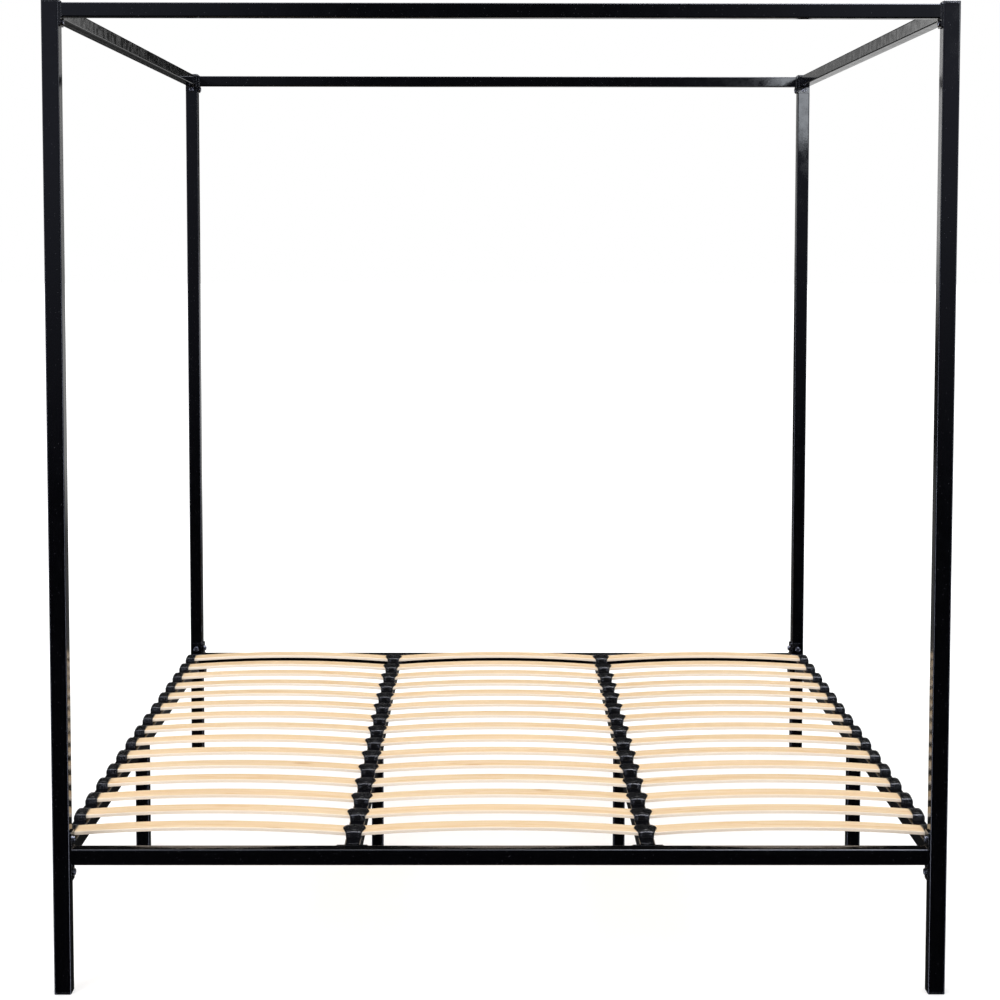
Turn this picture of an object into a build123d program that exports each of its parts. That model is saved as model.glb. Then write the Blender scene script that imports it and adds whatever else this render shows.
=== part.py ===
"""Four poster canopy bed: a bolt-together frame of square steel tube that carries a base of
sprung wooden slats in plastic holders.

Millimetres. +Z is up, +X is to the right of someone who faces the front end, +Y runs to the
rear. The origin is on the floor, under the middle of the bed.
"""
import os

from build123d import *

os.makedirs("parts", exist_ok=True)

# ---- Overall size, over the posts ----
bed_width = 1890.0
bed_length = 2090.0
bed_height = 2090.0

# ---- Square steel tube ----
post_size = 36.0
rail_size = 34.0
canopy_size = 30.0
centre_leg_size = 30.0
tube_wall = 1.5
tube_corner = 3.0
drain_radius = 2.5              # lets the coating bath out of the closed tubes
drain_inset = 60.0

# ---- Heights ----
rail_top = 313.0
cap_thickness = 4.0
foot_thickness = 4.0

# ---- Plates welded to the rails and legs ----
plate_thickness = 4.0
plate_width = 34.0
plate_corner = 3.0
rail_plate_reach = 36.0         # above and below the rail
canopy_plate_reach = 19.0       # below the canopy rail
centre_plate_width = 68.0
leg_plate_thickness = 3.0
leg_plate_length = 84.0
weld_leg = 2.0

# ---- M8 and M6 button head screws, washers and rivet nuts ----
m8_radius = 4.0
m8_length = 16.0
m8_head_radius = 7.0
m8_head_height = 4.4
m8_socket = 5.0                 # across the flats of the key
m8_nut_length = 12.0
m6_radius = 3.0
m6_length = 12.0
m6_head_radius = 5.25
m6_head_height = 3.3
m6_socket = 4.0
m6_nut_length = 9.0
socket_depth = 2.4
head_round = 2.0
thread_slack = 0.05             # shank to nut, on the radius
hole_slack = 0.5                # shank to plate, on the radius
washer_radius = 8.0
washer_thickness = 1.6
nut_skin = 1.5                  # rivet nut body outside its thread, on the radius
collar_skin = 1.5               # set collar outside the body, on the radius
collar_length = 3.0

# ---- Sprung slats ----
slat_rows = 15
slat_length = 612.0
slat_width = 53.0
slat_thickness = 8.0
slat_arch = 12.0
slat_end_height = 3.0           # underside of the slat's ends above the rails
slat_edge_round = 2.0
first_row_inset = 118.0         # front of the bed to the middle of the first row
last_row_inset = 130.0          # middle of the last row to the rear of the bed
centre_rail_x = 315.0
slat_end_gap = 9.0              # middle of the centre rail to the slat's end

# ---- Plastic slat holders ----
holder_length = 59.0            # along the rail
holder_crown = 18.0             # middle of the domed top, above the rail
holder_end_height = 13.5        # front and back of the domed top, above the rail
holder_skirt = 5.0              # underside of the lipped upper part, above the rail
holder_slack = 0.3              # round the slat in its pocket
holder_round = 1.2
double_holder_width = 50.0
end_holder_lip = 11.0           # inward from the middle of the side rail
end_holder_back = 16.0          # outward from the middle of the side rail
end_holder_shoulder = 6.0       # radius over the back
peg_radius = 4.0
peg_slack = 0.1
peg_length = 9.0
peg_spacing = 30.0

# ---- Plugs of the caps and feet ----
plug_slack = 0.1
plug_length = 18.0
plug_wall = 3.0
cap_round = 1.5

# ---- Places worked out from the sizes above ----
post_x = (bed_width - post_size) / 2
post_y = (bed_length - post_size) / 2
inner_x = post_x - post_size / 2            # inner faces of the posts
inner_y = post_y - post_size / 2
rail_underside = rail_top - rail_size
rail_z = rail_top - rail_size / 2
post_top = bed_height - cap_thickness
canopy_z = post_top - weld_leg - canopy_size / 2
rail_face_y = post_y - rail_size / 2        # inner faces of the front and rear rails
rail_bolt_rise = (rail_size + rail_plate_reach) / 2
canopy_bolt_drop = (canopy_size + canopy_plate_reach) / 2
centre_bolt_side = (centre_plate_width + rail_size) / 4
leg_bolt_side = (leg_plate_length + rail_size) / 4
first_row_y = first_row_inset - bed_length / 2
row_pitch = (bed_length - first_row_inset - last_row_inset) / (slat_rows - 1)
row_places = [first_row_y + row * row_pitch for row in range(slat_rows)]
outer_slat_x = centre_rail_x + slat_end_gap + slat_length / 2

ends = {"front": -1, "rear": 1}
sides = {"left": -1, "right": 1}
corners = [(side, end) for side in sides.values() for end in ends.values()]


def save(builder, name):
    """Name a finished piece and write its file."""
    builder.part.label = name
    export_step(builder.part, f"parts/{name}.step")


def joint_face(x, y, z, outward):
    """A plane on a bolted joint. Its normal points outward, and its local x is up on a wall."""
    local_x = (1, 0, 0) if outward[2] else (0, 0, 1)
    return Plane(origin=(x, y, z), x_dir=local_x, z_dir=outward)


def shifted(face, local_x, local_y):
    """The same face with its origin moved within its own plane."""
    return Plane(face * Location((local_x, local_y, 0)))


# ---- Joint faces, where a plate meets what it is bolted to ----
def end_rail_face(side, end, z):
    return joint_face(side * inner_x, end * post_y, z, (-side, 0, 0))


def side_rail_face(side, end, z):
    return joint_face(side * post_x, end * inner_y, z, (0, -end, 0))


def centre_rail_face(side, end):
    return joint_face(side * centre_rail_x, end * rail_face_y, rail_z, (0, -end, 0))


def leg_face(x):
    return joint_face(x, 0, rail_underside, (0, 0, -1))


post_faces = [face(side, end, 0) for side, end in corners for face in (end_rail_face, side_rail_face)]
rail_bolt_faces = [
    shifted(face, rail_z + rise, 0) for face in post_faces for rise in (-rail_bolt_rise, rail_bolt_rise)
]
canopy_bolt_faces = [shifted(face, canopy_z - canopy_bolt_drop, 0) for face in post_faces]
centre_bolt_faces = [
    shifted(centre_rail_face(side, end), 0, across)
    for side, end in corners for across in (-centre_bolt_side, centre_bolt_side)
]
leg_places = {
    "left_side": -post_x,
    "left_centre": -centre_rail_x,
    "right_centre": centre_rail_x,
    "right_side": post_x,
}
leg_bolt_faces = [
    shifted(leg_face(x), 0, along) for x in leg_places.values() for along in (-leg_bolt_side, leg_bolt_side)
]


# ---- Profiles, drawn in the sketch that is open ----
def tube_outline(size):
    RectangleRounded(size, size, tube_corner)


def tube_bore(size, mode=Mode.ADD):
    bore = size - 2 * tube_wall
    RectangleRounded(bore, bore, tube_corner - tube_wall, mode=mode)


def plug_ring(size):
    """The hollow square plug of a cap or foot, a push fit in a tube."""
    outside = size - 2 * tube_wall - 2 * plug_slack
    RectangleRounded(outside, outside, tube_corner - tube_wall)
    inside = outside - 2 * plug_wall
    Rectangle(inside, inside, mode=Mode.SUBTRACT)


def bolted_plate(height, width, rise, bolt_places, bolt_radius):
    """A plate with clearance holes. Its local x is its height, and rise moves its middle."""
    with Locations((rise, 0)):
        RectangleRounded(height, width, plate_corner)
    with Locations(*bolt_places):
        Circle(bolt_radius + hole_slack, mode=Mode.SUBTRACT)


# ---- Posts ----
for end_name, end in ends.items():
    for side_name, side in sides.items():
        with BuildPart() as post:
            with BuildSketch(Plane.XY.offset(foot_thickness)):
                with Locations((side * post_x, end * post_y)):
                    tube_outline(post_size)
                    tube_bore(post_size, mode=Mode.SUBTRACT)
            extrude(amount=post_top - foot_thickness)
            for face in (end_rail_face(side, end, 0), side_rail_face(side, end, 0)):
                bolt_heights = (rail_z - rail_bolt_rise, rail_z + rail_bolt_rise, canopy_z - canopy_bolt_drop)
                with Locations(*[shifted(face, height, 0) for height in bolt_heights]):
                    Hole(m8_radius + nut_skin, depth=2 * tube_wall)
        save(post, f"{end_name}_{side_name}_post")

# ---- Caps on top of the posts, and feet under them ----
for end_name, end in ends.items():
    for side_name, side in sides.items():
        with BuildPart() as cap:
            with BuildSketch(Plane.XY.offset(post_top)):
                with Locations((side * post_x, end * post_y)):
                    tube_outline(post_size)
            extrude(amount=cap_thickness)
            fillet(cap.faces().sort_by(Axis.Z)[-1].edges(), radius=cap_round)
            with BuildSketch(Plane.XY.offset(post_top)):
                with Locations((side * post_x, end * post_y)):
                    plug_ring(post_size)
            extrude(amount=-plug_length)
        save(cap, f"{end_name}_{side_name}_post_cap")

        with BuildPart() as foot:
            with BuildSketch():
                with Locations((side * post_x, end * post_y)):
                    tube_outline(post_size)
            extrude(amount=foot_thickness)
            chamfer(foot.faces().sort_by(Axis.Z)[0].edges(), length=cap_round / 2)
            with BuildSketch(Plane.XY.offset(foot_thickness)):
                with Locations((side * post_x, end * post_y)):
                    plug_ring(post_size)
            extrude(amount=plug_length)
        save(foot, f"{end_name}_{side_name}_post_foot")

# ---- Rails: a tube between two welded end plates ----
def plated_rail(faces, size, plate, bolt_places, bolt_radius):
    """A rail whose plates lie on its two joint faces. A plate is (height, width, rise)."""
    height, width, rise = plate
    bead = size + 2 * weld_leg
    start = faces[0].offset(plate_thickness)
    span = (faces[1].origin - faces[0].origin).length - 2 * plate_thickness
    with BuildPart() as rail:
        for face in faces:
            with BuildSketch(face):
                bolted_plate(height, width, rise, bolt_places, bolt_radius)
            extrude(amount=plate_thickness)
            with BuildSketch(face.offset(plate_thickness)):
                Rectangle(min(height, bead), min(width, bead))
            extrude(amount=weld_leg, taper=45)
        with BuildSketch(start):
            tube_outline(size)
        extrude(amount=span)
        with BuildSketch(start):
            tube_bore(size)
        extrude(amount=span, mode=Mode.SUBTRACT)
    return rail.part


def underside_places(x, y, along_x, half_span):
    """Where the drain holes of a rail go, near its two ends."""
    reach = half_span - drain_inset
    return [(x + s * reach, y) if along_x else (x, y + s * reach) for s in (-1, 1)]


# ---- Canopy rails, with one bolt below the tube at each end ----
canopy_plate = (
    weld_leg + canopy_size + canopy_plate_reach,
    plate_width,
    (weld_leg - canopy_plate_reach) / 2,
)
canopy_rails = {}
for end_name, end in ends.items():
    faces = [end_rail_face(side, end, canopy_z) for side in (-1, 1)]
    canopy_rails[f"{end_name}_canopy_rail"] = (faces, underside_places(0, end * post_y, True, inner_x))
for side_name, side in sides.items():
    faces = [side_rail_face(side, end, canopy_z) for end in (-1, 1)]
    canopy_rails[f"{side_name}_canopy_rail"] = (faces, underside_places(side * post_x, 0, False, inner_y))

for rail_name, (faces, drain_places) in canopy_rails.items():
    with BuildPart() as canopy_rail:
        add(plated_rail(faces, canopy_size, canopy_plate, [(-canopy_bolt_drop, 0)], m8_radius))
        with Locations(*[joint_face(x, y, canopy_z - canopy_size / 2, (0, 0, -1)) for x, y in drain_places]):
            Hole(drain_radius, depth=2 * tube_wall)
    save(canopy_rail, rail_name)

# ---- Front and rear rails, with holes in the inner face for the centre rails ----
rail_plate = (rail_size + 2 * rail_plate_reach, plate_width, 0)
rail_bolt_places = [(-rail_bolt_rise, 0), (rail_bolt_rise, 0)]
for end_name, end in ends.items():
    with BuildPart() as end_rail:
        faces = [end_rail_face(side, end, rail_z) for side in (-1, 1)]
        add(plated_rail(faces, rail_size, rail_plate, rail_bolt_places, m8_radius))
        with Locations(*[face for face in centre_bolt_faces if face.origin.Y * end > 0]):
            Hole(m6_radius + nut_skin, depth=2 * tube_wall)
        drain_places = underside_places(0, end * post_y, True, inner_x)
        with Locations(*[joint_face(x, y, rail_underside, (0, 0, -1)) for x, y in drain_places]):
            Hole(drain_radius, depth=2 * tube_wall)
    save(end_rail, f"{end_name}_rail")


def drill_slat_rail(x):
    """Holes in the open side or centre rail: pegs on top, the leg's nuts and drains below."""
    peg_places = [(x, row_y + shift) for row_y in row_places for shift in (-peg_spacing / 2, peg_spacing / 2)]
    with Locations(*[joint_face(px, py, rail_top, (0, 0, 1)) for px, py in peg_places]):
        Hole(peg_radius + peg_slack, depth=2 * tube_wall)
    with Locations(*[shifted(leg_face(x), 0, along) for along in (-leg_bolt_side, leg_bolt_side)]):
        Hole(m6_radius + nut_skin, depth=2 * tube_wall)
    drain_places = underside_places(x, 0, False, inner_y)
    with Locations(*[joint_face(px, py, rail_underside, (0, 0, -1)) for px, py in drain_places]):
        Hole(drain_radius, depth=2 * tube_wall)


# ---- Side rails, between the posts ----
for side_name, side in sides.items():
    with BuildPart() as side_rail:
        faces = [side_rail_face(side, end, rail_z) for end in (-1, 1)]
        add(plated_rail(faces, rail_size, rail_plate, rail_bolt_places, m8_radius))
        drill_slat_rail(side * post_x)
    save(side_rail, f"{side_name}_side_rail")

# ---- Centre rails, between the front and rear rails ----
centre_plate = (rail_size, centre_plate_width, 0)
centre_bolt_places = [(0, -centre_bolt_side), (0, centre_bolt_side)]
for side_name, side in sides.items():
    with BuildPart() as centre_rail:
        faces = [centre_rail_face(side, end) for end in (-1, 1)]
        add(plated_rail(faces, rail_size, centre_plate, centre_bolt_places, m6_radius))
        drill_slat_rail(side * centre_rail_x)
    save(centre_rail, f"{side_name}_centre_rail")

# ---- Middle legs, each hung by its top plate under a side or centre rail ----
leg_top = rail_underside - leg_plate_thickness
for leg_name, leg_x in leg_places.items():
    leg_size = rail_size if "side" in leg_name else centre_leg_size
    with BuildPart() as leg:
        with BuildSketch(leg_face(leg_x)):
            leg_bolts = [(0, -leg_bolt_side), (0, leg_bolt_side)]
            bolted_plate(plate_width, leg_plate_length, 0, leg_bolts, m6_radius)
        extrude(amount=leg_plate_thickness)
        with BuildSketch(leg_face(leg_x).offset(leg_plate_thickness)):
            Rectangle(plate_width, leg_size + 2 * weld_leg)
        extrude(amount=weld_leg, taper=45)
        with BuildSketch(Plane.XY.offset(foot_thickness)):
            with Locations((leg_x, 0)):
                tube_outline(leg_size)
        extrude(amount=leg_top - foot_thickness)
        with BuildSketch(Plane.XY.offset(foot_thickness)):
            with Locations((leg_x, 0)):
                tube_bore(leg_size)
        extrude(amount=leg_top - foot_thickness, mode=Mode.SUBTRACT)
    save(leg, f"{leg_name}_leg")

    with BuildPart() as leg_foot:
        with BuildSketch():
            with Locations((leg_x, 0)):
                tube_outline(leg_size)
        extrude(amount=foot_thickness)
        chamfer(leg_foot.faces().sort_by(Axis.Z)[0].edges(), length=cap_round / 2)
        with BuildSketch(Plane.XY.offset(foot_thickness)):
            with Locations((leg_x, 0)):
                plug_ring(leg_size)
        extrude(amount=plug_length)
    save(leg_foot, f"{leg_name}_leg_foot")


# ---- Screws and rivet nuts, made once on the XY plane and then put on their joint faces ----
def button_screw(shank_radius, length, head_radius, head_height, socket):
    """A screw whose head stands on the plane and whose shank goes down through it."""
    with BuildPart() as screw:
        Cylinder(head_radius, head_height, align=(Align.CENTER, Align.CENTER, Align.MIN))
        fillet(screw.edges().sort_by(Axis.Z)[-1], radius=head_round)
        with BuildSketch(Plane.XY.offset(head_height)):
            RegularPolygon(socket / 2, side_count=6, major_radius=False)
        extrude(amount=-socket_depth, mode=Mode.SUBTRACT)
        Cylinder(shank_radius - thread_slack, length, align=(Align.CENTER, Align.CENTER, Align.MAX))
    return screw.part


def rivet_nut(thread_radius, length):
    """A nut set in a tube's wall: flush outside, with a pressed collar behind the wall."""
    body = thread_radius + nut_skin
    with BuildPart() as nut:
        Cylinder(body, length, align=(Align.CENTER, Align.CENTER, Align.MAX))
        with Locations((0, 0, -tube_wall)):
            Cylinder(body + collar_skin, collar_length, align=(Align.CENTER, Align.CENTER, Align.MAX))
        Hole(thread_radius)
    return nut.part


def fastener_group(name, fastener, faces, seat=0.0):
    """Identical separate fasteners, one on each face, with their heads seated above it."""
    with BuildPart() as group:
        with Locations(*[face.offset(seat) for face in faces]):
            add(fastener)
    save(group, name)


m8_screw = button_screw(m8_radius, m8_length, m8_head_radius, m8_head_height, m8_socket)
m6_screw = button_screw(m6_radius, m6_length, m6_head_radius, m6_head_height, m6_socket)
m8_nut = rivet_nut(m8_radius, m8_nut_length)
m6_nut = rivet_nut(m6_radius, m6_nut_length)
with BuildPart() as m8_washer:
    Cylinder(washer_radius, washer_thickness, align=(Align.CENTER, Align.CENTER, Align.MIN))
    Hole(m8_radius + hole_slack)

fastener_group("rail_screws", m8_screw, rail_bolt_faces, plate_thickness + washer_thickness)
fastener_group("rail_washers", m8_washer.part, rail_bolt_faces, plate_thickness)
fastener_group("rail_rivet_nuts", m8_nut, rail_bolt_faces)
fastener_group("canopy_screws", m8_screw, canopy_bolt_faces, plate_thickness)
fastener_group("canopy_rivet_nuts", m8_nut, canopy_bolt_faces)
fastener_group("centre_rail_screws", m6_screw, centre_bolt_faces, plate_thickness)
fastener_group("centre_rail_rivet_nuts", m6_nut, centre_bolt_faces)
fastener_group("leg_screws", m6_screw, leg_bolt_faces, leg_plate_thickness)
fastener_group("leg_rivet_nuts", m6_nut, leg_bolt_faces)


# ---- Slats: three arched slats side by side in each row ----
slat_z = rail_top + slat_end_height + slat_thickness / 2        # middle of the slat's ends
with BuildPart() as slat_row:
    for middle in (-outer_slat_x, 0, outer_slat_x):
        with BuildLine(Plane.XZ):
            ends_x = (middle - slat_length / 2, middle + slat_length / 2)
            arch = ThreePointArc((ends_x[0], slat_z), (middle, slat_z + slat_arch), (ends_x[1], slat_z))
        with BuildSketch(Plane(origin=arch @ 0, x_dir=(0, 1, 0), z_dir=arch % 0)):
            RectangleRounded(slat_width, slat_thickness, slat_edge_round)
        sweep(path=arch)

for row, row_y in enumerate(row_places, start=1):
    with BuildPart() as placed_row:
        with Locations((0, row_y, 0)):
            add(slat_row.part)
    save(placed_row, f"slat_row_{row:02d}")


# ---- Holders: each has a pocket for a slat's end and two pegs in its rail ----
def add_pegs():
    """Pegs that go down into the rail, under the holder that is open."""
    with Locations((0, -peg_spacing / 2, rail_top), (0, peg_spacing / 2, rail_top)):
        Cylinder(peg_radius, peg_length, align=(Align.CENTER, Align.CENTER, Align.MAX))


def slat_space(middle):
    """The space that a slat takes, with its slack, to be cut from the holders of its ends."""
    half = slat_length / 2 + 2 * holder_slack
    low = slat_z - slat_thickness / 2 - holder_slack
    high = slat_z + slat_thickness / 2 + holder_slack
    with BuildPart() as space:
        with BuildSketch(Plane.XZ):
            with BuildLine():
                under = ThreePointArc((middle - half, low), (middle, low + slat_arch), (middle + half, low))
                over = ThreePointArc((middle - half, high), (middle, high + slat_arch), (middle + half, high))
                Line(under @ 0, over @ 0)
                Line(under @ 1, over @ 1)
            make_face()
        extrude(amount=slat_width / 2 + holder_slack, both=True)
    return space.part


def domed_block(inner, outer):
    """A block on the rail from x = inner to x = outer, with its top arched along the rail."""
    tip = holder_length / 2
    shoulder_z = rail_top + holder_end_height
    with BuildPart() as block:
        with BuildSketch(Plane.YZ.offset(inner)):
            with BuildLine():
                arch = ThreePointArc((-tip, shoulder_z), (0, rail_top + holder_crown), (tip, shoulder_z))
                Polyline(arch @ 1, (tip, rail_top), (-tip, rail_top), arch @ 0)
            make_face()
        extrude(amount=outer - inner)
    return block.part


with BuildPart() as double_holder:
    waist, belly, tip = rail_size / 2, double_holder_width / 2, holder_length / 2
    with BuildSketch(Plane.XY.offset(rail_top)):
        Rectangle(rail_size, holder_length)
    extrude(amount=holder_crown)
    with BuildSketch(Plane.XY.offset(rail_top + holder_skirt)):
        with BuildLine():
            right = Polyline((waist, -tip), (belly, 0), (waist, tip))
            left = Polyline((-waist, tip), (-belly, 0), (-waist, -tip))
            Line(right @ 1, left @ 0)
            Line(left @ 1, right @ 0)
        make_face()
    extrude(amount=holder_crown - holder_skirt)
    add(domed_block(-belly, belly), mode=Mode.INTERSECT)
    fillet(double_holder.faces().sort_by(Axis.Z)[-1].edges(), radius=holder_round)
    for toward in (-1, 1):
        add(slat_space(toward * (slat_end_gap + slat_length / 2)), mode=Mode.SUBTRACT)
    add_pegs()

with BuildPart() as right_end_holder:
    add(domed_block(-end_holder_lip, end_holder_back))
    back_face = right_end_holder.faces().sort_by(Axis.X)[-1]
    fillet(back_face.edges().sort_by(Axis.Z)[-1], radius=end_holder_shoulder)
    for end_face in right_end_holder.faces().filter_by(Axis.Y):
        fillet(end_face.edges().sort_by(Axis.Z)[-1], radius=holder_round)
    add(slat_space(outer_slat_x - post_x), mode=Mode.SUBTRACT)
    add_pegs()

end_holder = {"left": mirror(right_end_holder.part, about=Plane.YZ), "right": right_end_holder.part}
for side_name, side in sides.items():
    with BuildPart() as double_holders:
        with Locations(*[(side * centre_rail_x, row_y, 0) for row_y in row_places]):
            add(double_holder.part)
    save(double_holders, f"{side_name}_double_holders")

    with BuildPart() as end_holders:
        with Locations(*[(side * post_x, row_y, 0) for row_y in row_places]):
            add(end_holder[side_name])
    save(end_holders, f"{side_name}_end_holders")
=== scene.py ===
"""Looks of the four poster canopy bed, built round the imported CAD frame. Metres, +Z up."""
import math
import random

import bpy
from mathutils import Matrix, Vector


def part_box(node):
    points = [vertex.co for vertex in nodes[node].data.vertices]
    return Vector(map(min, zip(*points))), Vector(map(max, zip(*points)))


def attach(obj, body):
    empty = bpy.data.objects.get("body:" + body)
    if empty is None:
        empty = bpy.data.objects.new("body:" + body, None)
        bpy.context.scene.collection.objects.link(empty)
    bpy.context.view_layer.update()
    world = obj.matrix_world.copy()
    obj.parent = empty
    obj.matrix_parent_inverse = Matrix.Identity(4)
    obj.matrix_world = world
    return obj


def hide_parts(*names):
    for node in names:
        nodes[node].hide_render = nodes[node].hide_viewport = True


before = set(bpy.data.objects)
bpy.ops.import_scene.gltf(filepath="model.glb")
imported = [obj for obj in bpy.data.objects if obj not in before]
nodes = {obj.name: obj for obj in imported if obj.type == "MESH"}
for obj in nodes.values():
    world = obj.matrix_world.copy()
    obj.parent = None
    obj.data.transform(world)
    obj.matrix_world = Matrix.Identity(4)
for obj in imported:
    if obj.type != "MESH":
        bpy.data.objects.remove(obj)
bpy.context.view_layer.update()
scene = bpy.context.scene
chance = random.Random(11)

# ---- Sizes that the looks need, in metres ----
MM = 0.001
SLAT_WIDTH = 53 * MM
SLAT_THICKNESS = 8 * MM
SLAT_HALF_LENGTH = 306 * MM
SLAT_ARCH = 12 * MM
SLAT_END_Z = 320 * MM           # middle of the thickness, at the slat's ends
SLAT_EASE = 0.8 * MM            # the rounding of the slat's two ends
SLAT_STEPS = 40                 # sections along a slat
SLAT_MIDDLES = {"left": -630 * MM, "middle": 0.0, "right": 630 * MM}
VENEER_STRIPS = (3, 4, 5, 13, 14, 15)       # strips of a slat's section that lie on its two faces


# ---- Short calls that make materials ----
class Shader:
    """A principled material and the nodes that feed it."""

    def __init__(self, name, constants):
        self.material = bpy.data.materials.new(name)
        self.material.use_nodes = True
        self.tree = self.material.node_tree
        self.surface = self.tree.nodes["Principled BSDF"]
        for socket, value in constants.items():
            self.surface.inputs[socket].default_value = value

    def add(self, kind, inputs, out=0, **settings):
        node = self.tree.nodes.new(kind)
        for name, value in settings.items():
            setattr(node, name, value)
        for socket, value in inputs.items():
            self.plug(node.inputs[socket], value)
        return node.outputs[out]

    def plug(self, socket, value):
        if isinstance(value, bpy.types.NodeSocket):
            self.tree.links.new(value, socket)
        else:
            socket.default_value = value

    def set(self, socket, value):
        self.plug(self.surface.inputs[socket], value)

    def place(self):
        return self.add("ShaderNodeTexCoord", {}, out="Object")

    def attribute(self, name, out="Vector"):
        return self.add("ShaderNodeAttribute", {}, out=out, attribute_name=name)

    def stretch(self, vector, factors):
        return self.add("ShaderNodeVectorMath", {0: vector, 1: factors}, operation="MULTIPLY")

    def math(self, operation, a, b=0.0, clamp=False):
        return self.add("ShaderNodeMath", {0: a, 1: b}, operation=operation, use_clamp=clamp)

    def noise(self, vector, scale, detail=2.0, roughness=0.5, distortion=0.0):
        inputs = {"Vector": vector, "Scale": scale, "Detail": detail}
        inputs.update({"Roughness": roughness, "Distortion": distortion})
        return self.add("ShaderNodeTexNoise", inputs)

    def cells(self, vector, scale, out="Distance"):
        return self.add("ShaderNodeTexVoronoi", {"Vector": vector, "Scale": scale}, out=out)

    def between(self, value, low, high, to_low=0.0, to_high=1.0):
        """Maps low..high to to_low..to_high, smoothly and clamped."""
        inputs = {"Value": value, "From Min": low, "From Max": high}
        inputs.update({"To Min": to_low, "To Max": to_high})
        return self.add("ShaderNodeMapRange", inputs, interpolation_type="SMOOTHSTEP")

    def mix(self, share, first, second, how="MIX"):
        node = self.tree.nodes.new("ShaderNodeMix")
        node.data_type = "RGBA"
        node.blend_type = how
        for index, value in ((0, share), (6, first), (7, second)):
            self.plug(node.inputs[index], value)
        return node.outputs[2]

    def bump(self, height, strength, distance, normal=None):
        inputs = {"Height": height, "Strength": strength, "Distance": distance}
        if normal is not None:
            inputs["Normal"] = normal
        return self.add("ShaderNodeBump", inputs, out="Normal")

    def edge_wear_and_highlight(self, radius, low=0.985, high=0.90):
        """1 on sharp edges and 0 on flat faces, from how far a rounded normal turns. It marks edge
        wear, and on the powder coat also a painted highlight.
        """
        rounded = self.add("ShaderNodeBevel", {"Radius": radius}, samples=4)
        plain = self.add("ShaderNodeNewGeometry", {}, out="Normal")
        pair = {0: rounded, 1: plain}
        same = self.add("ShaderNodeVectorMath", pair, out="Value", operation="DOT_PRODUCT")
        return self.between(same, low, high), rounded


def grey(value, blue=0.0):
    return (value, value, value + blue, 1.0)


def lighter(colour, times):
    return tuple(min(1.0, part * times) for part in colour[:3]) + (1.0,)


def powder_coat(name, colour, roughness):
    """Black powder coat: faint orange peel, specks and nibs, and lighter edges, partly where the coat
    is thinner and partly a painted highlight.
    """
    coat = Shader(name, {"Specular IOR Level": 0.36})
    place = coat.place()
    worn_and_highlight, rounded = coat.edge_wear_and_highlight(0.8 * MM)
    patches = coat.noise(place, 34.0, 3.0)
    specks = coat.between(coat.cells(place, 150.0), 0.10, 0.05)
    sparse = coat.between(coat.noise(place, 41.0, 1.0), 0.52, 0.62)
    speck = coat.math("MULTIPLY", specks, sparse)
    nibs = coat.between(coat.cells(place, 110.0), 0.075, 0.03)
    speck = coat.math("MAXIMUM", speck, nibs)
    scuffed = coat.between(coat.noise(coat.stretch(place, (1.0, 1.0, 0.25)), 420.0, 3.0), 0.55, 0.75)
    coat_wear_and_highlight = coat.math("MULTIPLY", worn_and_highlight, coat.math("ADD", scuffed, 0.25), clamp=True)
    base = coat.mix(patches, colour, lighter(colour, 1.7))
    base = coat.mix(coat.math("MULTIPLY", speck, patches), base, grey(0.12, 0.02))
    # Lighter edges: partly wear of the coat, partly a painted highlight along every edge.
    coat.set("Base Color", coat.mix(coat_wear_and_highlight, base, grey(0.15, 0.004)))
    fine = coat.noise(place, 700.0, 2.0)
    rough = coat.between(patches, 0.3, 0.7, roughness - 0.03, roughness + 0.05)
    coat.set("Roughness", coat.math("ADD", rough, coat.math("MULTIPLY", coat_wear_and_highlight, 0.12)))
    peel = coat.math("ADD", fine, coat.math("MULTIPLY", coat.noise(place, 230.0, 1.0), 1.6))
    ripple = coat.bump(peel, 0.06, 0.20 * MM, rounded)
    coat.set("Normal", coat.bump(speck, 0.4, 0.4 * MM, ripple))
    return coat.material


def moulded_plastic(name, colour, roughness, grain):
    """Black moulded plastic with a fine spark-eroded grain, pale flecks that are partly scuffs and
    partly painted glints, and worn edges.
    """
    plastic = Shader(name, {"Specular IOR Level": 0.60})
    place = plastic.place()
    worn_and_highlight, rounded = plastic.edge_wear_and_highlight(0.6 * MM)
    mottled = plastic.noise(place, 90.0, 4.0, 0.6)
    pits = plastic.noise(place, grain, 3.0, 0.7)
    flecks = plastic.between(plastic.cells(place, 300.0), 0.20, 0.06)
    base = plastic.mix(mottled, colour, lighter(colour, 2.0))
    # The pale flecks are partly scuffs and partly painted glints: small highlights painted into the
    # colour.
    base = plastic.mix(plastic.math("MULTIPLY", flecks, 0.40), base, grey(0.26, 0.01))
    base = plastic.mix(plastic.math("MULTIPLY", worn_and_highlight, 0.30), base, grey(0.085, 0.008))
    plastic.set("Base Color", base)
    plastic.set("Roughness", plastic.between(pits, 0.3, 0.7, roughness - 0.06, roughness + 0.10))
    dents = plastic.math("ADD", pits, plastic.noise(place, 190.0, 2.0, 0.5))
    plastic.set("Normal", plastic.bump(dents, 0.45, 0.5 * MM, rounded))
    return plastic.material


def fastener_finish(name):
    """Black zinc: metal with a dark film that is rubbed bright on its edges."""
    zinc = Shader(name, {"Metallic": 1.0})
    place = zinc.place()
    worn_and_highlight, rounded = zinc.edge_wear_and_highlight(0.35 * MM)
    film = zinc.noise(place, 260.0, 4.0, 0.6)
    base = zinc.mix(film, grey(0.06, 0.005), grey(0.24, 0.015))
    zinc.set("Base Color", zinc.mix(zinc.math("MULTIPLY", worn_and_highlight, 0.6), base, grey(0.42)))
    zinc.set("Roughness", zinc.between(film, 0.3, 0.7, 0.18, 0.40))
    zinc.set("Normal", zinc.bump(zinc.noise(place, 1800.0, 2.0), 0.12, 0.1 * MM, rounded))
    return zinc.material


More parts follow.
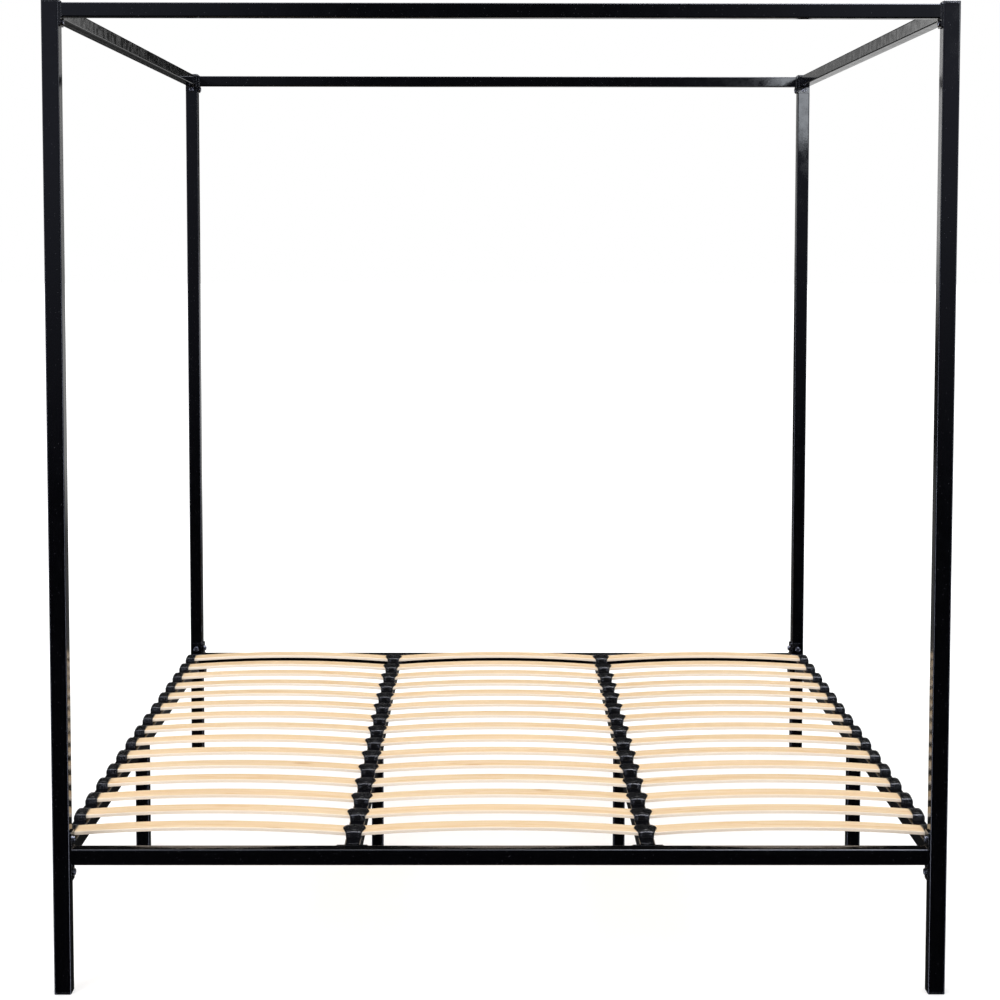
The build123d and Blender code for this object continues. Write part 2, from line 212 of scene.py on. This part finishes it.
PLIES = 5.0
BIRCH = {
    "pale": (0.68, 0.535, 0.355, 1.0),
    "honey": (0.625, 0.450, 0.265, 1.0),
    "amber": (0.53, 0.300, 0.13, 1.0),
    "fleck": (0.45, 0.25, 0.10, 1.0),
    "knot": (0.42, 0.22, 0.09, 1.0),
    "sawn": (0.90, 0.83, 0.755, 1.0),
    "cross_ply": (0.82, 0.73, 0.63, 1.0),
    "glue": (0.42, 0.27, 0.15, 1.0),
    "warm": (0.76, 0.55, 0.34, 1.0),
}


def birch(name, sawn):
    """Birch veneer. The grain follows the slat, and sawn edges show the layers."""
    wood = Shader(name, {"Specular IOR Level": 0.10})
    flat = wood.attribute("grain")
    tone = wood.attribute("tone", out="Fac")
    streaks = wood.noise(wood.stretch(flat, (1.6, 46.0, 20.0)), 1.0, 5.0, 0.55, 1.1)
    fibres = wood.noise(wood.stretch(flat, (16.0, 620.0, 300.0)), 1.0, 4.0, 0.65, 0.3)
    flames = wood.noise(wood.stretch(flat, (3.4, 74.0, 60.0)), 1.0, 3.0, 0.6, 2.6)
    flecks = wood.between(wood.cells(wood.stretch(flat, (60.0, 900.0, 400.0)), 1.0), 0.17, 0.08)
    base = wood.mix(wood.between(streaks, 0.34, 0.68), BIRCH["pale"], BIRCH["honey"])
    base = wood.mix(wood.between(flames, 0.56, 0.66, 0.0, 0.72), base, BIRCH["amber"])
    base = wood.mix(wood.between(fibres, 0.35, 0.75, 0.0, 0.25), base, BIRCH["amber"])
    base = wood.mix(wood.math("MULTIPLY", flecks, 0.28), base, BIRCH["fleck"])
    knots = wood.between(wood.cells(wood.stretch(flat, (3.1, 8.5, 8.5)), 1.0), 0.10, 0.03)
    base = wood.mix(wood.math("MULTIPLY", knots, 0.55), base, BIRCH["knot"])
    if sawn:
        height = wood.attribute("layer", out="Fac")
        ply = wood.math("PINGPONG", wood.math("MULTIPLY", height, PLIES), 0.5)
        glue = wood.between(ply, 0.10, 0.02)
        cross = wood.between(ply, 0.2, 0.4, 0.0, 0.35)
        base = wood.mix(0.75, base, BIRCH["sawn"])
        base = wood.mix(cross, base, BIRCH["cross_ply"])
        base = wood.mix(wood.math("MULTIPLY", glue, 0.65), base, BIRCH["glue"])
    base = wood.mix(wood.between(tone, 0.0, 1.0, 0.0, 0.25), base, BIRCH["warm"])
    wood.set("Base Color", base)
    wood.set("Roughness", wood.between(fibres, 0.3, 0.7, 0.42, 0.58))
    relief = wood.math("ADD", fibres, wood.math("MULTIPLY", streaks, 0.6))
    wood.set("Normal", wood.bump(relief, 0.25, 0.25 * MM))
    return wood.material


frame_black = powder_coat("frame_black", (0.0006, 0.0006, 0.0009, 1.0), 0.085)
holder_black = moulded_plastic("holder_black", (0.0016, 0.0016, 0.0020, 1.0), 0.22, 900.0)
cap_black = moulded_plastic("cap_black", (0.0014, 0.0014, 0.0020, 1.0), 0.22, 900.0)
zinc_black = fastener_finish("zinc_black")
birch_face = birch("birch_face", False)
birch_edge = birch("birch_edge", True)

for node_name, node in nodes.items():
    if node_name.endswith(("screws", "washers", "nuts")):
        finish = zinc_black
    elif node_name.endswith("holders"):
        finish = holder_black
    elif node_name.endswith(("cap", "foot")):
        finish = cap_black
    elif node_name.startswith("slat_row"):
        finish = birch_face
    else:
        finish = frame_black
    for material_slot in node.material_slots:
        material_slot.material = finish


# ---- Mesh code ----
def make_piece(name, points, faces, materials, face_materials=None, smooth=None):
    """A mesh object on the body root, with its points already in place."""
    mesh = bpy.data.meshes.new(name)
    mesh.from_pydata(points, [], faces)
    for material in materials:
        mesh.materials.append(material)
    for index, polygon in enumerate(mesh.polygons):
        if face_materials:
            polygon.material_index = face_materials[index]
        polygon.use_smooth = smooth[index] if smooth else False
    mesh.update()
    piece = bpy.data.objects.new(name, mesh)
    scene.collection.objects.link(piece)
    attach(piece, "root")
    return piece


def slat_section():
    """Points (across, height) round the slat's section, with rounded edges, from the front bottom."""
    half_width, half_height, corner, steps = SLAT_WIDTH / 2, SLAT_THICKNESS / 2, 2.4 * MM, 4
    section = []
    middles = ((1, 1, 0), (-1, 1, 90), (-1, -1, 180), (1, -1, 270))
    for side_y, side_z, start in middles:
        middle = (side_y * (half_width - corner), side_z * (half_height - corner))
        for step in range(steps + 1):
            angle = math.radians(start + 90 * step / steps)
            section.append((middle[0] + corner * math.cos(angle), middle[1] + corner * math.sin(angle)))
    return section


def bent_slat(name, middle_x, y, row_node):
    """One laminated slat: its section carried along the arch, with eased ends."""
    radius = (SLAT_HALF_LENGTH ** 2 + SLAT_ARCH ** 2) / (2 * SLAT_ARCH)
    reach = math.asin(SLAT_HALF_LENGTH / radius)
    centre_z = SLAT_END_Z + SLAT_ARCH - radius
    section = slat_section()
    count = len(section)
    turns = [-reach, -reach + SLAT_EASE / radius]
    turns += [-reach + 2 * reach * step / SLAT_STEPS for step in range(1, SLAT_STEPS)]
    turns += [reach - SLAT_EASE / radius, reach]
    seed, tone = chance.uniform(0, 40), chance.random()
    points, grain, layer = [], [], []
    for index, turn in enumerate(turns):
        shrink = 1 - SLAT_EASE / (SLAT_THICKNESS / 2) if index in (0, len(turns) - 1) else 1.0
        for across, height in section:
            wide = across - math.copysign(SLAT_EASE, across) if shrink < 1 else across
            far = radius + height * shrink
            points.append((middle_x + far * math.sin(turn), y + wide, centre_z + far * math.cos(turn)))
            grain.append((radius * turn + seed, across + seed * 0.37, height + seed * 0.11))
            layer.append(height / SLAT_THICKNESS + 0.5)
    faces, kinds = [], []
    for ring in range(len(turns) - 1):
        for corner in range(count):
            after = (corner + 1) % count
            low, high = ring * count, (ring + 1) * count
            faces.append((low + corner, high + corner, high + after, low + after))
            kinds.append(0 if corner in VENEER_STRIPS else 1)
    faces.append(tuple(range(count)))
    faces.append(tuple(reversed(range((len(turns) - 1) * count, len(turns) * count))))
    kinds += [1, 1]
    smooth = [True] * (len(faces) - 2) + [False, False]
    piece = make_piece(name, points, faces, [birch_face, birch_edge], kinds, smooth)
    mesh = piece.data
    mesh.attributes.new("grain", "FLOAT_VECTOR", "POINT").data.foreach_set(
        "vector", [value for point in grain for value in point]
    )
    mesh.attributes.new("layer", "FLOAT", "POINT").data.foreach_set("value", layer)
    mesh.attributes.new("tone", "FLOAT", "POINT").data.foreach_set("value", [tone] * len(points))
    weigh = piece.modifiers.new("weigh", "WEIGHTED_NORMAL")
    weigh.keep_sharp = True
    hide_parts(row_node)


slat_rows = sorted(name for name in nodes if name.startswith("slat_row"))
for row_node in slat_rows:
    low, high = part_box(row_node)
    for place_name, middle_x in SLAT_MIDDLES.items():
        number = row_node.rsplit("_", 1)[1]
        bent_slat(f"slat_{number}_{place_name}", middle_x, (low.y + high.y) / 2, row_node)


# ---- Weld beads round the ends of the tubes ----
class Shells:
    """Closed shells gathered into one mesh. Millimetres, turned into metres at the end."""

    def __init__(self):
        self.points, self.faces, self.smooth = [], [], []

    def add(self, points, faces, smooth=True):
        start = len(self.points)
        self.points += points
        self.faces += [tuple(start + corner for corner in face) for face in faces]
        self.smooth += [smooth] * len(faces)

    def piece(self, name, material, slot, shift=(0, 0, 0)):
        points = [tuple((p[axis] + shift[axis]) * MM for axis in range(3)) for p in self.points]
        return make_piece(name, points, self.faces, [material], smooth=self.smooth)


def ring_faces(rings, count):
    """Quads between rings of points, and a cap on each end."""
    faces = []
    for ring in range(rings - 1):
        for corner in range(count):
            after = (corner + 1) % count
            low, high = ring * count, (ring + 1) * count
            faces.append((low + corner, low + after, high + after, high + corner))
    faces.append(tuple(reversed(range(count))))
    faces.append(tuple(range((rings - 1) * count, rings * count)))
    return faces


def bead(shells, start, along, outward, away, length, leg):
    """A rippled fillet weld from start, in the corner that opens toward outward and away."""
    start, along, outward, away = (Vector(v) for v in (start, along, outward, away))
    step, rings = 0.55, []
    count = max(4, int(length / step))
    phase = chance.uniform(0, 6)
    if along.cross(outward).dot(away) < 0:
        outward, away = away, outward
    for index in range(count + 1):
        at = length * index / count
        edge = min(at, length - at)
        size = leg * (0.93 + 0.07 * math.sin(at * 2.6 + phase)) * min(1.0, 0.55 + edge * 0.45)
        size *= 1 - 0.04 * abs(math.sin(at * 0.37 + phase * 2))
        lag = 0.35 * size
        ring = [start + along * at - (outward + away) * 0.3]
        for turn in range(5):
            angle = math.radians(90 * turn / 4)
            swell = 0.80 + 0.20 * abs(math.cos(2 * angle))
            middle = 0.35 * math.sin(2 * angle) * lag
            reach = size * swell
            spot = outward * math.cos(angle) * reach + away * math.sin(angle) * reach
            ring.append(start + along * (at + middle) + spot)
        rings += ring
    shells.add([tuple(p) for p in rings], ring_faces(count + 1, 6))


def weld_tube(shells, middle, axis, across, up, half_across, half_up, legs):
    """Beads on the sides of a tube that meets a plate at middle. axis leaves the plate."""
    middle, axis, across, up = (Vector(v) for v in (middle, axis, across, up))
    across_leg, up_leg = legs
    for sign in (-1, 1):
        if up_leg:
            start = middle + up * sign * half_up - across * (half_across - 1.5)
            bead(shells, start, across, up * sign, axis, 2 * half_across - 3, up_leg)
        if across_leg:
            start = middle + across * sign * half_across - up * (half_up - 1.5)
            bead(shells, start, up, across * sign, axis, 2 * half_up - 3, across_leg)


END_PLATE, LEG_PLATE = 4.0, 3.0
BED_TUBE_HALF, LIGHT_TUBE_HALF = 17.0, 15.0     # the light tube: canopy rails and centre legs
BED_RAIL_MIDDLE_Z = 296.0
CANOPY_PLATE_RISE = 2.0                         # how far the canopy's end plates pass the tube
BED_BEAD, CANOPY_BEAD = 2.2, 2.0


def weld_beads():
    """The beads of each welded rail and leg, from where the CAD has its tubes and plates."""
    for node_name in nodes:
        if not node_name.endswith(("_rail", "_leg")):
            continue
        low, high = (corner * 1000 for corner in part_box(node_name))
        middle, shells = (low + high) / 2, Shells()
        if node_name.endswith("_leg"):
            half = LIGHT_TUBE_HALF if "centre" in node_name else BED_TUBE_HALF
            place = (middle.x, middle.y, high.z - LEG_PLATE)
            legs = (BED_TUBE_HALF - half, BED_BEAD)
            weld_tube(shells, place, (0, 0, -1), (1, 0, 0), (0, 1, 0), half, half, legs)
        else:
            half, tube_z, legs = BED_TUBE_HALF, BED_RAIL_MIDDLE_Z, (0.0, BED_BEAD)
            if "canopy" in node_name:
                half, legs = LIGHT_TUBE_HALF, (CANOPY_BEAD, CANOPY_BEAD)
                tube_z = high.z - CANOPY_PLATE_RISE - half
            elif "centre" in node_name:
                legs = (BED_BEAD, 0.0)
            for sign, end in ((-1, low), (1, high)):
                if high.x - low.x > high.y - low.y:
                    axis, across = (-sign, 0, 0), (0, 1, 0)
                    place = (end.x - sign * END_PLATE, middle.y, tube_z)
                else:
                    axis, across = (0, -sign, 0), (1, 0, 0)
                    place = (middle.x, end.y - sign * END_PLATE, tube_z)
                weld_tube(shells, place, axis, across, (0, 0, 1), half, half, legs)
        shells.piece(f"{node_name}_weld_beads", frame_black, "frame_steel")


weld_beads()


# ---- Moulded slat holders. Millimetres, from the middle of the rail's top ----
POCKET_END, POCKET_ROOF, POCKET_SLOPE = 8.4, 11.3, 0.0785       # where a slat's end sits
HOLDER_TIP, HOLDER_CROWN, HOLDER_DROP = 29.5, 18.0, 4.5         # half length, height, fall to the tips
LID_MIDDLE, LID_FLARE = 17.5, 7.5                               # half width at the tips, and its growth
END_BACK, END_LIP = 16.0, 11.0                                  # reach of an end holder, back and front
BASE_TIP, BASE_TOP = 29.2, 2.7
CHEEK_INSIDE, CHEEK_OUTSIDE, CHEEK_TOP = 26.85, 29.3, 12.2
CHEEK_RIB_INSIDE, CHEEK_RIB_TOP, CHEEK_RIB_HALF = 28.9, 10.6, 0.8
PEG_Y = 15.0
BOSS_EDGE, BOSS_FLAT, GRIP = 5.2, 4.2, 0.5                      # the boss over a peg, and grip height
DOUBLE_X, END_X, RAIL_TOP_Z = 315.0, 927.0, 313.0               # where the holders stand


def eased(value, low, high):
    share = min(1.0, max(0.0, (value - low) / (high - low)))
    return share * share * (3 - 2 * share)


def rolled(distance, radius):
    """How far a rounded edge has dropped at this distance inside it."""
    if distance >= radius:
        return 0.0
    return radius - math.sqrt(max(0.0, radius ** 2 - (radius - distance) ** 2))


def height_shell(shells, columns, rows, top, bottom):
    """A closed shell between two height surfaces. columns(y) gives the x places of a row."""
    points, faces = [], []
    count = len(columns(0.0))
    for y in rows:
        points += [(x, y, top(x, y)) for x, kind in columns(y)]
    for y in rows:
        points += [(x, y, bottom(x, y, kind)) for x, kind in columns(y)]
    under = len(rows) * count
    for row in range(len(rows) - 1):
        for column in range(count - 1):
            a, b = row * count + column, (row + 1) * count + column
            faces.append((a, a + 1, b + 1, b))
            faces.append((under + a, under + b, under + b + 1, under + a + 1))
        for a, flip in ((row * count, False), ((row + 1) * count - 1, True)):
            b = a + count
            side = (a, b, under + b, under + a)
            faces.append(tuple(reversed(side)) if flip else side)
    last = (len(rows) - 1) * count
    for column in range(count - 1):
        faces.append((column, under + column, under + column + 1, column + 1))
        a = last + column
        faces.append((a, a + 1, under + a + 1, under + a))
    shells.add(points, faces)


def soft_block(shells, low, high, ease):
    """A block with eased edges, as four stacked outlines."""
    rings = []
    for z, inset in ((low[2], ease), (low[2] + ease, 0), (high[2] - ease, 0), (high[2], ease)):
        x0, x1, y0, y1 = low[0] + inset, high[0] - inset, low[1] + inset, high[1] - inset
        rings += [(x0 + ease, y0, z), (x1 - ease, y0, z), (x1, y0 + ease, z), (x1, y1 - ease, z)]
        rings += [(x1 - ease, y1, z), (x0 + ease, y1, z), (x0, y1 - ease, z), (x0, y0 + ease, z)]
    shells.add(rings, ring_faces(4, 8), smooth=False)


def peg(shells, x, y):
    """The tapered peg that goes into the rail's hole."""
    rings = []
    for z, radius in ((-9.0, 3.2), (-8.0, 4.0), (0.4, 4.0)):
        for turn in range(16):
            angle = turn * math.pi / 8
            rings.append((x + radius * math.cos(angle), y + radius * math.sin(angle), z))
    shells.add(rings, ring_faces(3, 16))


def holder_rows():
    """Places along a holder, closer together near both tips for the rounded edges."""
    near = (0.0, 0.12, 0.4, 0.9, 1.5)
    low, high = -HOLDER_TIP, HOLDER_TIP
    count = round((high - low - 2 * near[-1]) / 1.5)
    inner = [low + near[-1] + (high - low - 2 * near[-1]) * n / count for n in range(count + 1)]
    return [low + d for d in near[:-1]] + inner + [high - d for d in reversed(near[:-1])]


def half_lid(y):
    """Half the width of a double holder's lid: widest over the middle of the slat."""
    share = abs(y) / HOLDER_TIP
    return LID_MIDDLE + LID_FLARE * (1 - share ** 1.15)


def boss_at(x, y):
    """1 on the two round bosses over the pegs, 0 beside them."""
    return max(eased(math.hypot(x, y - side), BOSS_EDGE, BOSS_FLAT) for side in (-PEG_Y, PEG_Y))


def double_top(x, y):
    """A domed lid with two round bosses over the pegs, a parting groove and grip ribs."""
    z = HOLDER_CROWN - HOLDER_DROP * (y / HOLDER_TIP) ** 2 - 2.8 * (x / (LID_MIDDLE + LID_FLARE)) ** 2
    groove = eased(abs(x), 1.6, 0.7) * eased(abs(y), 9.5, 8.5)
    rib = max(eased(abs(y - place), 1.5, 0.5) for place in (-8.0, 0.0, 8.0))
    rib *= eased(abs(x), 9.5, 10.5) * eased(abs(x), half_lid(y) - 2.0, half_lid(y) - 3.2)
    z += GRIP * boss_at(x, y) - 0.9 * groove + GRIP * rib - GRIP
    return z - rolled(half_lid(y) - abs(x), 1.2) - rolled(HOLDER_TIP - abs(y), 1.4)


def double_columns(y):
    """Places across a double holder: its web between the slats, and a roof over each slat's end."""
    inner = [(-POCKET_END + 2 * POCKET_END * n / 12, "web") for n in range(13)]
    span = half_lid(y) - POCKET_END
    shares = (0.0, 0.12, 0.24, 0.36, 0.48, 0.60, 0.72, 0.84, 0.92, 0.97, 0.99, 1.0)
    right = [(POCKET_END + span * share, "roof") for share in shares]
    left = [(-x, kind) for x, kind in reversed(right)]
    return left + inner + right


def roof_or_web(x, y, kind):
    if kind == "web":
        return 0.0
    return POCKET_ROOF + POCKET_SLOPE * (abs(x) - 9.0)


def sockets(shells, x0, x1, rib_places):
    """The base under a slat's end and a cheek on each side of it, ribbed outside."""
    soft_block(shells, (x0, -BASE_TIP, 0), (x1, BASE_TIP, BASE_TOP), 0.25)
    for end in (-1, 1):
        y0, y1 = sorted((end * CHEEK_INSIDE, end * CHEEK_OUTSIDE))
        soft_block(shells, (x0, y0, 0.2), (x1, y1, CHEEK_TOP), 0.3)
        y0, y1 = sorted((end * CHEEK_RIB_INSIDE, end * HOLDER_TIP))
        for rib_x in rib_places:
            low_x = rib_x - CHEEK_RIB_HALF
            high_x = low_x + 2 * CHEEK_RIB_HALF
            soft_block(shells, (low_x, y0, 0.8), (high_x, y1, CHEEK_RIB_TOP), 0.2)


def double_holder(shells):
    height_shell(shells, double_columns, holder_rows(), double_top, roof_or_web)
    for side in (-1, 1):
        x0, x1 = sorted((side * 8.0, side * 17.0))
        sockets(shells, x0, x1, (side * 10.5, side * 14.5))
    for y in (-PEG_Y, PEG_Y):
        peg(shells, 0.0, y)


def end_top(x, y):
    """A domed cap over the slat's end, rounded over its back, with the same boss and ribs."""
    z = HOLDER_CROWN - HOLDER_DROP * (y / HOLDER_TIP) ** 2
    rib = max(eased(abs(y - place), 1.5, 0.5) for place in (-6.0, 0.0, 6.0))
    rib *= eased(abs(x + 1.0), 7.5, 6.5)
    z += GRIP * boss_at(x - 1.0, y) + GRIP * rib - GRIP
    return z - rolled(END_BACK - x, 6.0) - rolled(x + END_LIP, 1.2) - rolled(HOLDER_TIP - abs(y), 1.4)


def end_columns(y):
    """Places across an end holder: the lip and roof over the slat's end, then the solid back."""
    lip = [(x, "roof") for x in (-END_LIP, -10.88, -10.6, -10.1, -9.4)]
    lip += [(-8.0 + 17.6 * n / 12, "roof") for n in range(13)]
    back = [(x, "web") for x in (9.6, 10.6, 11.8, 13.0, 14.0, 14.8, 15.4, 15.75, 15.94, END_BACK)]
    return lip + back


def end_roof(x, y, kind):
    return 0.0 if kind == "web" else POCKET_ROOF + POCKET_SLOPE * (9.0 - x)


def end_holder(shells):
    height_shell(shells, end_columns, holder_rows(), end_top, end_roof)
    sockets(shells, -10.8, 10.0, (-7.0, -1.0, 5.0))
    for y in (-PEG_Y, PEG_Y):
        peg(shells, 0.0, y)


def place_holders():
    """Each CAD node of fifteen holders gets one detailed piece with the same fifteen."""
    row_places = [sum(corner.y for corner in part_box(name)) / 2 * 1000 for name in slat_rows]
    one_double, one_end = Shells(), Shells()
    double_holder(one_double)
    end_holder(one_end)
    for node_name in sorted(name for name in nodes if name.endswith("holders")):
        side = -1 if node_name.startswith("left") else 1
        double = "double" in node_name
        pattern, middle = (one_double, DOUBLE_X) if double else (one_end, END_X)
        mirrored = side < 0 and not double
        flip = -1 if mirrored else 1
        shells = Shells()
        for row_y in row_places:
            shift_x = side * middle
            points = [(flip * x + shift_x, y + row_y, z + RAIL_TOP_Z) for x, y, z in pattern.points]
            faces = [tuple(reversed(face)) if mirrored else face for face in pattern.faces]
            start = len(shells.points)
            shells.points += points
            shells.faces += [tuple(start + corner for corner in face) for face in faces]
            shells.smooth += pattern.smooth
        piece = shells.piece(f"{node_name}_moulded", holder_black, "holder_plastic")
        mesh = piece.data
        mesh.set_sharp_from_angle(angle=math.radians(40))
        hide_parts(node_name)


place_holders()


# ---- Stage: pale floor, white surroundings and soft lights ----
def make_floor():
    """A plain pale floor, lit from within and more so far out, so that it reads as white paper."""
    mesh = bpy.data.meshes.new("floor")
    reach = 60.0
    corners = [(-reach, -reach, 0), (reach, -reach, 0), (reach, reach, 0), (-reach, reach, 0)]
    mesh.from_pydata(corners, [], [(0, 1, 2, 3)])
    floor = bpy.data.objects.new("floor", mesh)
    scene.collection.objects.link(floor)
    paint = Shader("floor_paint", {"Roughness": 0.9, "Specular IOR Level": 0.0})
    shade = paint.noise(paint.place(), 1.3, 2.0)
    paint.set("Base Color", paint.mix(shade, grey(0.60), grey(0.63)))
    paint.set("Emission Color", grey(1.0))
    apart = paint.add("ShaderNodeVectorMath", {0: paint.place()}, out="Value", operation="LENGTH")
    paint.set("Emission Strength", paint.between(apart, 1.5, 5.0, 0.46, 0.85))
    mesh.materials.append(paint.material)
    floor.visible_glossy = False


EVEN_LIGHT, COOL = 0.80, (0.86, 0.92, 1.18, 1.0)
STRIP_LEVEL, PANEL_LEVEL, PANEL_MORE_RIGHT, ABOVE_LEVEL, DARKEST = 12.0, 7.0, 15.0, 0.06, 0.010


def make_world():
    """White to the camera, even for shading, and a dim studio with soft panels for gloss."""
    world = bpy.data.worlds.new("studio")
    scene.world = world
    world.use_nodes = True
    tree = world.node_tree
    back = tree.nodes["Background"]

    def node(kind, inputs, out=0, **settings):
        made = tree.nodes.new(kind)
        for name, value in settings.items():
            setattr(made, name, value)
        for socket, value in inputs.items():
            if isinstance(value, bpy.types.NodeSocket):
                tree.links.new(value, made.inputs[socket])
            else:
                made.inputs[socket].default_value = value
        return made.outputs[out]

    def calc(operation, a, b=0.0):
        return node("ShaderNodeMath", {0: a, 1: b}, operation=operation)

    def step(value, low, high):
        inputs = {"Value": value, "From Min": low, "From Max": high}
        return node("ShaderNodeMapRange", inputs, interpolation_type="SMOOTHSTEP")

    def times(*values):
        result = values[0]
        for value in values[1:]:
            result = calc("MULTIPLY", result, value)
        return result

    def tone(value, stops):
        """Brightness by height: each stop is (height of the direction, brightness)."""
        scaled = calc("ADD", calc("MULTIPLY", value, 0.5), 0.5)
        made = node("ShaderNodeValToRGB", {"Fac": scaled})
        ramp = made.node.color_ramp
        while len(ramp.elements) < len(stops):
            ramp.elements.new(0.5)
        for element, (height, level) in zip(ramp.elements, stops):
            element.position, element.color = height * 0.5 + 0.5, grey(level)
        return made

    toward = node("ShaderNodeTexCoord", {}, out="Generated")
    split = tree.nodes.new("ShaderNodeSeparateXYZ")
    tree.links.new(toward, split.inputs[0])
    x, y, z = split.outputs
    wide = calc("ABSOLUTE", x)
    right_side, ahead = step(x, -0.04, 0.04), step(y, 0.3, 0.0)

    # Behind the bed, as its inner faces and undersides show it: dim, other on each side.
    left = tone(z, ((-0.24, 0.02), (-0.20, 0.10), (-0.12, 0.12), (-0.10, 0.02), (-0.03, 0.03),
                    (0.0, 0.26), (0.11, 0.26), (0.14, 0.0)))
    right = tone(z, ((-0.24, 0.02), (-0.20, 0.10), (-0.14, 0.12), (-0.11, 0.62), (-0.04, 0.62),
                     (0.0, 0.015), (0.11, 0.015), (0.14, 0.0)))
    rear = node("ShaderNodeMix", {0: right_side, 2: left, 3: right}, data_type="FLOAT")
    # Two bright jambs beyond it light the inner faces of the posts, the right one less.
    outer = step(calc("ADD", wide, calc("MULTIPLY", right_side, 0.008)), 0.199, 0.211)
    jambs = times(outer, tone(z, ((-0.05, 0.0), (0.0, 1.4), (0.12, 1.4), (0.16, 0.0))))
    jambs = times(jambs, calc("SUBTRACT", 1.0, calc("MULTIPLY", right_side, 0.35)))
    rear = times(step(y, 0.1, 0.6), calc("MAXIMUM", rear, jambs))
    # The room behind the camera: brighter upward and outward, for the front faces.
    sides = calc("ADD", calc("MULTIPLY", step(wide, 0.05, 0.20), 0.9), 0.1)
    front = times(step(z, -0.16, 0.10), 0.50, times(sides, ahead))
    # A light strip far out on each side, for edges, and a panel overhead, stronger on the right.
    strips = times(step(wide, 0.78, 0.84), step(wide, 0.935, 0.90), ahead)
    side_light = tone(z, ((-0.04, 1.0), (0.0, 0.3), (0.11, 0.3), (0.15, 0.0)))
    strips = times(strips, calc("MULTIPLY", side_light, STRIP_LEVEL))
    panel = times(step(z, 0.88, 0.91), step(z, 0.985, 0.97))
    more = calc("MULTIPLY", step(x, -0.02, 0.12), PANEL_MORE_RIGHT)
    panel = times(panel, calc("ADD", more, PANEL_LEVEL))
    above = calc("MULTIPLY", step(z, 0.42, 0.7), ABOVE_LEVEL)
    gloss = calc("MAXIMUM", rear, front)
    for part in (strips, above, panel, DARKEST):
        gloss = calc("MAXIMUM", gloss, part)

    path = tree.nodes.new("ShaderNodeLightPath")
    seen, glossy = path.outputs["Is Camera Ray"], path.outputs["Is Glossy Ray"]
    level = node("ShaderNodeMix", {0: glossy, 2: EVEN_LIGHT, 3: gloss}, data_type="FLOAT")
    level = node("ShaderNodeMix", {0: seen, 2: level, 3: 1.0}, data_type="FLOAT")
    tree.links.new(level, back.inputs["Strength"])
    cool = {0: calc("MULTIPLY", glossy, ahead), 6: grey(1.0), 7: COOL}
    tint = node("ShaderNodeMix", cool, 2, data_type="RGBA")
    tree.links.new(tint, back.inputs["Color"])


def soft_light(name, place, target, size, power):
    """A rectangle of light, left out of mirror images."""
    light = bpy.data.lights.new(name, "AREA")
    light.shape = "RECTANGLE"
    light.size, light.size_y = size
    light.energy = power
    lamp = bpy.data.objects.new(name, light)
    scene.collection.objects.link(lamp)
    lamp.location = place
    lamp.rotation_mode = "QUATERNION"
    lamp.rotation_quaternion = (Vector(target) - Vector(place)).to_track_quat("-Z", "Y")
    lamp.visible_glossy = False
    return lamp


CAMERA_PLACE = (-0.0212, -5.4046, 1.6146)
YAW_PITCH_ROLL = (0.00449, 0.07029, 0.0013)         # radians; the pitch is downward
LENS, SENSOR, SHIFT_UP = 75.71, 36.0, -0.12


def make_camera():
    """The viewing angle of the picture: a standing person in front of the foot end."""
    yaw, pitch, roll = YAW_PITCH_ROLL
    flat = math.cos(pitch)
    forward = Vector((math.sin(yaw) * flat, math.cos(yaw) * flat, -math.sin(pitch)))
    level = Vector((math.cos(yaw), -math.sin(yaw), 0))
    right = math.cos(roll) * level + math.sin(roll) * level.cross(forward)
    up = right.cross(forward)
    data = bpy.data.cameras.new("camera")
    data.lens, data.sensor_width, data.shift_y = LENS, SENSOR, SHIFT_UP
    data.clip_start, data.clip_end = 0.05, 300.0
    camera = bpy.data.objects.new("camera", data)
    scene.collection.objects.link(camera)
    turn = Matrix((right, up, -forward)).transposed().to_4x4()
    camera.matrix_world = Matrix.Translation(CAMERA_PLACE) @ turn
    scene.camera = camera


make_floor()
make_world()
soft_light("overhead", (0.0, 0.2, 5.5), (0.0, 0.0, 0.0), (4.5, 4.5), 190.0)
soft_light("front_left", (-3.4, -5.2, 3.4), (0.0, 0.0, 0.6), (2.5, 2.5), 120.0)
# A small lamp that only mirror images show: the light patch on the rear right post.
glint = soft_light("glint", (1.416, -1.88, 2.219), (0.97, 1.0, 2.03), (0.40, 0.40), 4.6)
glint.data.color = (0.88, 0.93, 1.0)
glint.visible_glossy, glint.visible_diffuse, glint.visible_camera = True, False, False
make_camera()
scene.view_settings.view_transform = "Standard"
scene.view_settings.look = "None"
